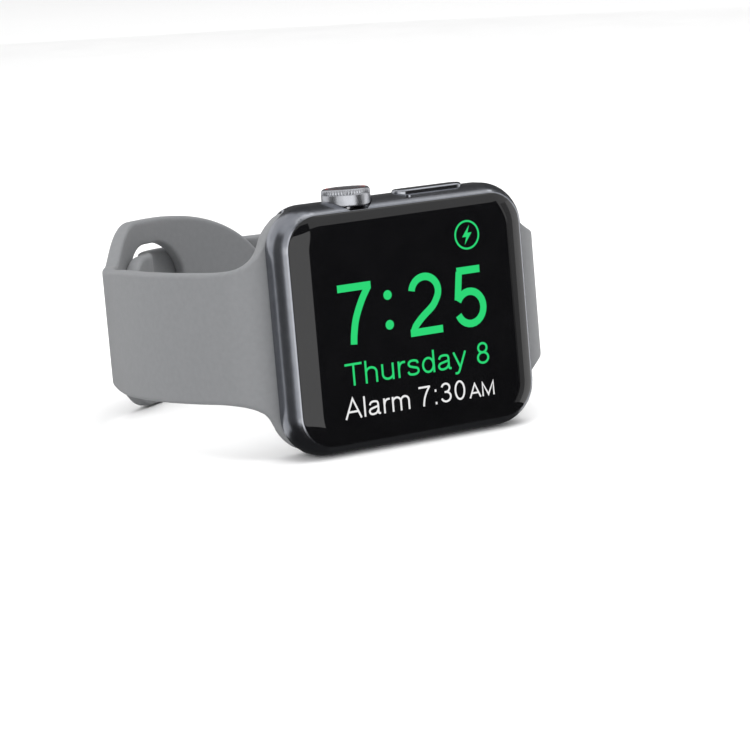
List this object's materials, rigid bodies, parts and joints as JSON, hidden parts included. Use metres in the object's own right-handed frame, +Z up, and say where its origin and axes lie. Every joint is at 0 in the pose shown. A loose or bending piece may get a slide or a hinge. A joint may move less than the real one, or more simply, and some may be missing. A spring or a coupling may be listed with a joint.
{
  "type": "smartwatch",
  "caption": "Rectangular smartwatch with a curved-edge glass, crown and side button on top, and a closed pin-and-tuck rubber strap, standing on its lower long side.",
  "frame": {"origin": "under the middle of the standing watch, on the surface it stands on", "axes": "+Z up towards the crown side, -Y out of the display (leaning back a little), +X towards the long strap"},
  "size_m": [0.0654, 0.0674, 0.0383],
  "materials": {
    "case_metal": "bead-blasted dark grey anodised",
    "cover_glass": "black-backed polished glass",
    "display": "black laminated panel",
    "seal_rubber": "matt seal",
    "flex_circuit": "amber film",
    "back_composite": "polished dark composite",
    "back_glass": "domed clear lens",
    "sensor_glass": "dark optical windows",
    "circuit_board": "solder mask",
    "copper": "wound copper",
    "magnet_steel": "plated",
    "battery_wrap": "foil pouch",
    "chip_black": "moulded package",
    "steel": "machined",
    "speaker_body": "moulded",
    "bushing_bronze": "sintered",
    "crown_metal": "polished and knurled",
    "crown_red": "red enamel ring",
    "button_metal": "polished edge",
    "strap_rubber": "soft-touch grey fluoroelastomer",
    "stud_metal": "polished dark grey"
  },
  "bodies": {
    "case": {"case_shell": "case_metal", "cover_glass": "cover_glass", "glass_gasket": "seal_rubber", "display_panel": "display", "display_flex": "flex_circuit", "back_cover": "back_composite", "back_cover_gasket": "seal_rubber", "back_crystal": "back_glass", "sensor_windows": "sensor_glass", "sensor_board": "circuit_board", "charging_coil": "copper", "charging_magnet": "magnet_steel", "battery": "battery_wrap", "logic_board": "circuit_board", "processor_module": "chip_black", "board_screws": "steel", "haptic_housing": "steel", "speaker_module": "speaker_body", "speaker_mesh": "steel", "microphones": "chip_black", "crown_bushing": "bushing_bronze", "crown_gasket": "seal_rubber", "crown_switch": "chip_black", "crown_sensor": "chip_black", "side_button_switch": "chip_black", "side_button_bracket": "steel"},
    "band_short": {"strap_short": "strap_rubber", "lug_core_short": "steel", "latch_spring_short": "steel", "closure_stud": "stud_metal", "stud_washer": "steel"},
    "band_long": {"strap_long": "strap_rubber", "lug_core_long": "steel", "latch_spring_long": "steel"},
    "crown_slider": {"crown_carrier": "steel"},
    "crown": {"crown_cap": "crown_metal", "crown_end_ring": "crown_red", "crown_shaft": "steel", "crown_clip": "steel", "crown_encoder_drum": "bushing_bronze"},
    "side_button": {"side_button": "button_metal", "side_button_pins": "steel"},
    "haptic_driver": {"haptic_mass": "magnet_steel"},
    "release_short": {"release_button_short": "case_metal"},
    "release_long": {"release_button_long": "case_metal"},
    "latch_short": {"latch_short": "steel"},
    "latch_long": {"latch_long": "steel"}
  },
  "joints": [
    {"name": "band_short_slide", "type": "slide", "parent": "case", "child": "band_short", "axis": [0, 0.0652, 0.9979], "range_m": [0, 0.038]},
    {"name": "band_long_slide", "type": "slide", "parent": "case", "child": "band_long", "axis": [0, 0.0652, 0.9979], "range_m": [0, 0.038]},
    {"name": "crown_press", "type": "slide", "parent": "case", "child": "crown_slider", "axis": [0, -0.0652, -0.9979], "range_m": [0, 0.00035], "stiffness_N_per_m": 1200, "springref_m": -0.0004},
    {"name": "crown_turn", "type": "hinge", "parent": "crown_slider", "child": "crown", "pos_m": [-0.00854, -0.02694, 0.03811], "axis": [0, 0.0652, 0.9979], "continuous": true},
    {"name": "side_button_press", "type": "slide", "parent": "case", "child": "side_button", "axis": [0, -0.0652, -0.9979], "range_m": [0, 0.00035], "stiffness_N_per_m": 1500, "springref_m": -0.0004},
    {"name": "haptic_shift", "type": "slide", "parent": "case", "child": "haptic_driver", "axis": [0, 0.0652, 0.9979], "range_m": [-0.0008, 0.0008], "stiffness_N_per_m": 600},
    {"name": "release_short_press", "type": "slide", "parent": "case", "child": "release_short", "axis": [0, -0.9979, 0.0652], "range_m": [0, 0.0004], "stiffness_N_per_m": 800, "springref_m": -0.0003},
    {"name": "release_long_press", "type": "slide", "parent": "case", "child": "release_long", "axis": [0, -0.9979, 0.0652], "range_m": [0, 0.0004], "stiffness_N_per_m": 800, "springref_m": -0.0003},
    {"name": "latch_short_slide", "type": "slide", "parent": "band_short", "child": "latch_short", "axis": [0, -0.9979, 0.0652], "range_m": [0, 0.0004]},
    {"name": "latch_long_slide", "type": "slide", "parent": "band_long", "child": "latch_long", "axis": [0, -0.9979, 0.0652], "range_m": [0, 0.0004]}
  ],
  "couplings": [
    {"joint": "band_long_slide", "follows": "band_short_slide", "ratio": 1},
    {"joint": "latch_short_slide", "follows": "release_short_press", "ratio": 1},
    {"joint": "latch_long_slide", "follows": "release_long_press", "ratio": 1}
  ]
}
